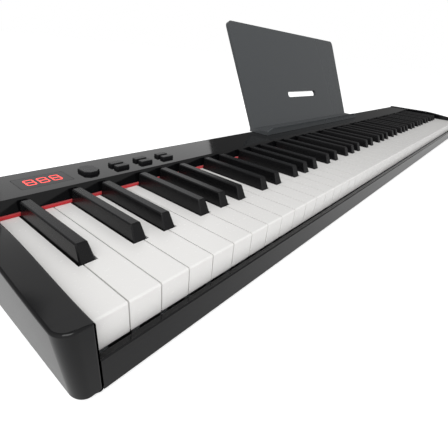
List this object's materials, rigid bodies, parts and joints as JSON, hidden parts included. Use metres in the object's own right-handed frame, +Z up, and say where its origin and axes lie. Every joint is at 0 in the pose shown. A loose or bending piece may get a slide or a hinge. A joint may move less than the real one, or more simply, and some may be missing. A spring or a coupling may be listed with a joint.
{
  "type": "digital piano",
  "caption": "Slim black digital piano with a full keyboard, a small red display, round-cornered end blocks and a lift-off music stand.",
  "frame": {"origin": "on the ground, under the middle of the whole piano's box", "axes": "+X towards the treble end, +Y towards the back, +Z up"},
  "size_m": [1.2606, 0.2804, 0.2208],
  "materials": {
    "ivory": "white key plastic, semi-gloss",
    "ebony": "black key plastic, satin",
    "gloss_black": "polished black case plastic",
    "matte_black": "plain matt black",
    "zinc_steel": "zinc-plated pressed steel",
    "red_felt": "red wool felt",
    "board_green": "circuit board with solder mask",
    "smoked_lens": "smoked display lens",
    "button_grey": "satin dark grey",
    "rubber": "moulded rubber"
  },
  "bodies": {
    "case": {"bottom_case": "gloss_black", "control_panel": "gloss_black", "left_end_block": "gloss_black", "right_end_block": "gloss_black", "front_rail": "gloss_black", "key_frame": "zinc_steel", "hinge_bar": "zinc_steel", "key_felt_strip": "red_felt", "contact_board": "board_green", "main_board": "board_green", "display_lens": "smoked_lens", "display_board": "board_green", "speaker_left": "matte_black", "speaker_right": "matte_black", "foot_front_left": "rubber", "foot_rear_left": "rubber", "foot_front_right": "rubber", "foot_rear_right": "rubber"},
    "music_stand": {"music_stand": "gloss_black"},
    "play_button": {"play_button": "button_grey"},
    "button_front_1": {"button_front_1": "button_grey"},
    "button_rear_1": {"button_rear_1": "button_grey"},
    "button_front_2": {"button_front_2": "button_grey"},
    "button_rear_2": {"button_rear_2": "button_grey"},
    "button_front_3": {"button_front_3": "button_grey"},
    "button_rear_3": {"button_rear_3": "button_grey"},
    "key_A0": {"key_A0": "ivory"},
    "key_B0": {"key_B0": "ivory"},
    "key_As0": {"key_As0": "ebony"},
    "key_C1": {"key_C1": "ivory"},
    "key_D1": {"key_D1": "ivory"},
    "key_E1": {"key_E1": "ivory"},
    "key_F1": {"key_F1": "ivory"},
    "key_G1": {"key_G1": "ivory"},
    "key_A1": {"key_A1": "ivory"},
    "key_B1": {"key_B1": "ivory"},
    "key_Cs1": {"key_Cs1": "ebony"},
    "key_Ds1": {"key_Ds1": "ebony"},
    "key_Fs1": {"key_Fs1": "ebony"},
    "key_Gs1": {"key_Gs1": "ebony"},
    "key_As1": {"key_As1": "ebony"},
    "octave_2_comb_CEGB": {"octave_2_comb_CEGB": "ivory"},
    "octave_2_comb_DFA": {"octave_2_comb_DFA": "ivory"},
    "octave_2_comb_sharps": {"octave_2_comb_sharps": "ebony"},
    "octave_3_comb_CEGB": {"octave_3_comb_CEGB": "ivory"},
    "octave_3_comb_DFA": {"octave_3_comb_DFA": "ivory"},
    "octave_3_comb_sharps": {"octave_3_comb_sharps": "ebony"},
    "octave_4_comb_CEGB": {"octave_4_comb_CEGB": "ivory"},
    "octave_4_comb_DFA": {"octave_4_comb_DFA": "ivory"},
    "octave_4_comb_sharps": {"octave_4_comb_sharps": "ebony"},
    "octave_5_comb_CEGB": {"octave_5_comb_CEGB": "ivory"},
    "octave_5_comb_DFA": {"octave_5_comb_DFA": "ivory"},
    "octave_5_comb_sharps": {"octave_5_comb_sharps": "ebony"},
    "octave_6_comb_CEGB": {"octave_6_comb_CEGB": "ivory"},
    "octave_6_comb_DFA": {"octave_6_comb_DFA": "ivory"},
    "octave_6_comb_sharps": {"octave_6_comb_sharps": "ebony"},
    "octave_7_comb_CEGBC": {"octave_7_comb_CEGBC": "ivory"},
    "octave_7_comb_DFA": {"octave_7_comb_DFA": "ivory"},
    "octave_7_comb_sharps": {"octave_7_comb_sharps": "ebony"}
  },
  "joints": [
    {"name": "music_stand_slide", "type": "slide", "parent": "case", "child": "music_stand", "axis": [0, 0, 1], "range_m": [0, 0.03]},
    {"name": "play_button_slide", "type": "slide", "parent": "case", "child": "play_button", "axis": [0, 0, -1], "range_m": [0, 0.001], "stiffness_N_per_m": 400, "springref_m": -0.001},
    {"name": "button_front_1_slide", "type": "slide", "parent": "case", "child": "button_front_1", "axis": [0, 0, -1], "range_m": [0, 0.001], "stiffness_N_per_m": 400, "springref_m": -0.001},
    {"name": "button_rear_1_slide", "type": "slide", "parent": "case", "child": "button_rear_1", "axis": [0, 0, -1], "range_m": [0, 0.001], "stiffness_N_per_m": 400, "springref_m": -0.001},
    {"name": "button_front_2_slide", "type": "slide", "parent": "case", "child": "button_front_2", "axis": [0, 0, -1], "range_m": [0, 0.001], "stiffness_N_per_m": 400, "springref_m": -0.001},
    {"name": "button_rear_2_slide", "type": "slide", "parent": "case", "child": "button_rear_2", "axis": [0, 0, -1], "range_m": [0, 0.001], "stiffness_N_per_m": 400, "springref_m": -0.001},
    {"name": "button_front_3_slide", "type": "slide", "parent": "case", "child": "button_front_3", "axis": [0, 0, -1], "range_m": [0, 0.001], "stiffness_N_per_m": 400, "springref_m": -0.001},
    {"name": "button_rear_3_slide", "type": "slide", "parent": "case", "child": "button_rear_3", "axis": [0, 0, -1], "range_m": [0, 0.001], "stiffness_N_per_m": 400, "springref_m": -0.001},
    {"name": "octave_2_comb_CEGB_pivot", "type": "hinge", "parent": "case", "child": "octave_2_comb_CEGB", "pos_m": [-0.31696, 0.04994, 0.039], "axis": [1, 0, 0], "range_deg": [0, 3.1], "stiffness_Nm_per_rad": 4, "springref_deg": -8.59},
    {"name": "octave_2_comb_DFA_pivot", "type": "hinge", "parent": "case", "child": "octave_2_comb_DFA", "pos_m": [-0.31639, 0.04994, 0.039], "axis": [1, 0, 0], "range_deg": [0, 3.1], "stiffness_Nm_per_rad": 3, "springref_deg": -8.59},
    {"name": "octave_2_comb_sharps_pivot", "type": "hinge", "parent": "case", "child": "octave_2_comb_sharps", "pos_m": [-0.31668, 0.04994, 0.039], "axis": [1, 0, 0], "range_deg": [0, 3.1], "stiffness_Nm_per_rad": 5, "springref_deg": -8.59},
    {"name": "octave_3_comb_CEGB_pivot", "type": "hinge", "parent": "case", "child": "octave_3_comb_CEGB", "pos_m": [-0.15246, 0.04994, 0.039], "axis": [1, 0, 0], "range_deg": [0, 3.1], "stiffness_Nm_per_rad": 4, "springref_deg": -8.59},
    {"name": "octave_3_comb_DFA_pivot", "type": "hinge", "parent": "case", "child": "octave_3_comb_DFA", "pos_m": [-0.15189, 0.04994, 0.039], "axis": [1, 0, 0], "range_deg": [0, 3.1], "stiffness_Nm_per_rad": 3, "springref_deg": -8.59},
    {"name": "octave_3_comb_sharps_pivot", "type": "hinge", "parent": "case", "child": "octave_3_comb_sharps", "pos_m": [-0.15218, 0.04994, 0.039], "axis": [1, 0, 0], "range_deg": [0, 3.1], "stiffness_Nm_per_rad": 5, "springref_deg": -8.59},
    {"name": "octave_4_comb_CEGB_pivot", "type": "hinge", "parent": "case", "child": "octave_4_comb_CEGB", "pos_m": [0.01204, 0.04994, 0.039], "axis": [1, 0, 0], "range_deg": [0, 3.1], "stiffness_Nm_per_rad": 4, "springref_deg": -8.59},
    {"name": "octave_4_comb_DFA_pivot", "type": "hinge", "parent": "case", "child": "octave_4_comb_DFA", "pos_m": [0.01261, 0.04994, 0.039], "axis": [1, 0, 0], "range_deg": [0, 3.1], "stiffness_Nm_per_rad": 3, "springref_deg": -8.59},
    {"name": "octave_4_comb_sharps_pivot", "type": "hinge", "parent": "case", "child": "octave_4_comb_sharps", "pos_m": [0.01232, 0.04994, 0.039], "axis": [1, 0, 0], "range_deg": [0, 3.1], "stiffness_Nm_per_rad": 5, "springref_deg": -8.59},
    {"name": "octave_5_comb_CEGB_pivot", "type": "hinge", "parent": "case", "child": "octave_5_comb_CEGB", "pos_m": [0.17653, 0.04994, 0.039], "axis": [1, 0, 0], "range_deg": [0, 3.1], "stiffness_Nm_per_rad": 4, "springref_deg": -8.59},
    {"name": "octave_5_comb_DFA_pivot", "type": "hinge", "parent": "case", "child": "octave_5_comb_DFA", "pos_m": [0.17711, 0.04994, 0.039], "axis": [1, 0, 0], "range_deg": [0, 3.1], "stiffness_Nm_per_rad": 3, "springref_deg": -8.59},
    {"name": "octave_5_comb_sharps_pivot", "type": "hinge", "parent": "case", "child": "octave_5_comb_sharps", "pos_m": [0.17682, 0.04994, 0.039], "axis": [1, 0, 0], "range_deg": [0, 3.1], "stiffness_Nm_per_rad": 5, "springref_deg": -8.59},
    {"name": "octave_6_comb_CEGB_pivot", "type": "hinge", "parent": "case", "child": "octave_6_comb_CEGB", "pos_m": [0.34103, 0.04994, 0.039], "axis": [1, 0, 0], "range_deg": [0, 3.1], "stiffness_Nm_per_rad": 4, "springref_deg": -8.59},
    {"name": "octave_6_comb_DFA_pivot", "type": "hinge", "parent": "case", "child": "octave_6_comb_DFA", "pos_m": [0.34161, 0.04994, 0.039], "axis": [1, 0, 0], "range_deg": [0, 3.1], "stiffness_Nm_per_rad": 3, "springref_deg": -8.59},
    {"name": "octave_6_comb_sharps_pivot", "type": "hinge", "parent": "case", "child": "octave_6_comb_sharps", "pos_m": [0.34132, 0.04994, 0.039], "axis": [1, 0, 0], "range_deg": [0, 3.1], "stiffness_Nm_per_rad": 5, "springref_deg": -8.59},
    {"name": "octave_7_comb_CEGBC_pivot", "type": "hinge", "parent": "case", "child": "octave_7_comb_CEGBC", "pos_m": [0.51484, 0.04994, 0.039], "axis": [1, 0, 0], "range_deg": [0, 3.1], "stiffness_Nm_per_rad": 5, "springref_deg": -8.59},
    {"name": "octave_7_comb_DFA_pivot", "type": "hinge", "parent": "case", "child": "octave_7_comb_DFA", "pos_m": [0.50611, 0.04994, 0.039], "axis": [1, 0, 0], "range_deg": [0, 3.1], "stiffness_Nm_per_rad": 3, "springref_deg": -8.59},
    {"name": "octave_7_comb_sharps_pivot", "type": "hinge", "parent": "case", "child": "octave_7_comb_sharps", "pos_m": [0.50582, 0.04994, 0.039], "axis": [1, 0, 0], "range_deg": [0, 3.1], "stiffness_Nm_per_rad": 5, "springref_deg": -8.59},
    {"name": "key_A0_pivot", "type": "hinge", "parent": "case", "child": "key_A0", "pos_m": [-0.60071, 0.04994, 0.039], "axis": [1, 0, 0], "range_deg": [0, 3.1], "stiffness_Nm_per_rad": 1, "springref_deg": -8.59},
    {"name": "key_B0_pivot", "type": "hinge", "parent": "case", "child": "key_B0", "pos_m": [-0.57086, 0.04994, 0.039], "axis": [1, 0, 0], "range_deg": [0, 3.1], "stiffness_Nm_per_rad": 1, "springref_deg": -8.59},
    {"name": "key_As0_pivot", "type": "hinge", "parent": "case", "child": "key_As0", "pos_m": [-0.58408, 0.04994, 0.039], "axis": [1, 0, 0], "range_deg": [0, 3.1], "stiffness_Nm_per_rad": 1, "springref_deg": -8.59},
    {"name": "key_C1_pivot", "type": "hinge", "parent": "case", "child": "key_C1", "pos_m": [-0.55657, 0.04994, 0.039], "axis": [1, 0, 0], "range_deg": [0, 3.1], "stiffness_Nm_per_rad": 1, "springref_deg": -8.59},
    {"name": "key_D1_pivot", "type": "hinge", "parent": "case", "child": "key_D1", "pos_m": [-0.52875, 0.04994, 0.039], "axis": [1, 0, 0], "range_deg": [0, 3.1], "stiffness_Nm_per_rad": 1, "springref_deg": -8.59},
    {"name": "key_E1_pivot", "type": "hinge", "parent": "case", "child": "key_E1", "pos_m": [-0.50093, 0.04994, 0.039], "axis": [1, 0, 0], "range_deg": [0, 3.1], "stiffness_Nm_per_rad": 1, "springref_deg": -8.59},
    {"name": "key_F1_pivot", "type": "hinge", "parent": "case", "child": "key_F1", "pos_m": [-0.48664, 0.04994, 0.039], "axis": [1, 0, 0], "range_deg": [0, 3.1], "stiffness_Nm_per_rad": 1, "springref_deg": -8.59},
    {"name": "key_G1_pivot", "type": "hinge", "parent": "case", "child": "key_G1", "pos_m": [-0.45996, 0.04994, 0.039], "axis": [1, 0, 0], "range_deg": [0, 3.1], "stiffness_Nm_per_rad": 1, "springref_deg": -8.59},
    {"name": "key_A1_pivot", "type": "hinge", "parent": "case", "child": "key_A1", "pos_m": [-0.43304, 0.04994, 0.039], "axis": [1, 0, 0], "range_deg": [0, 3.1], "stiffness_Nm_per_rad": 1, "springref_deg": -8.59},
    {"name": "key_B1_pivot", "type": "hinge", "parent": "case", "child": "key_B1", "pos_m": [-0.40636, 0.04994, 0.039], "axis": [1, 0, 0], "range_deg": [0, 3.1], "stiffness_Nm_per_rad": 1, "springref_deg": -8.59},
    {"name": "key_Cs1_pivot", "type": "hinge", "parent": "case", "child": "key_Cs1", "pos_m": [-0.54278, 0.04994, 0.039], "axis": [1, 0, 0], "range_deg": [0, 3.1], "stiffness_Nm_per_rad": 1, "springref_deg": -8.59},
    {"name": "key_Ds1_pivot", "type": "hinge", "parent": "case", "child": "key_Ds1", "pos_m": [-0.51472, 0.04994, 0.039], "axis": [1, 0, 0], "range_deg": [0, 3.1], "stiffness_Nm_per_rad": 1, "springref_deg": -8.59},
    {"name": "key_Fs1_pivot", "type": "hinge", "parent": "case", "child": "key_Fs1", "pos_m": [-0.47342, 0.04994, 0.039], "axis": [1, 0, 0], "range_deg": [0, 3.1], "stiffness_Nm_per_rad": 1, "springref_deg": -8.59},
    {"name": "key_Gs1_pivot", "type": "hinge", "parent": "case", "child": "key_Gs1", "pos_m": [-0.4465, 0.04994, 0.039], "axis": [1, 0, 0], "range_deg": [0, 3.1], "stiffness_Nm_per_rad": 1, "springref_deg": -8.59},
    {"name": "key_As1_pivot", "type": "hinge", "parent": "case", "child": "key_As1", "pos_m": [-0.41957, 0.04994, 0.039], "axis": [1, 0, 0], "range_deg": [0, 3.1], "stiffness_Nm_per_rad": 1, "springref_deg": -8.59}
  ]
}
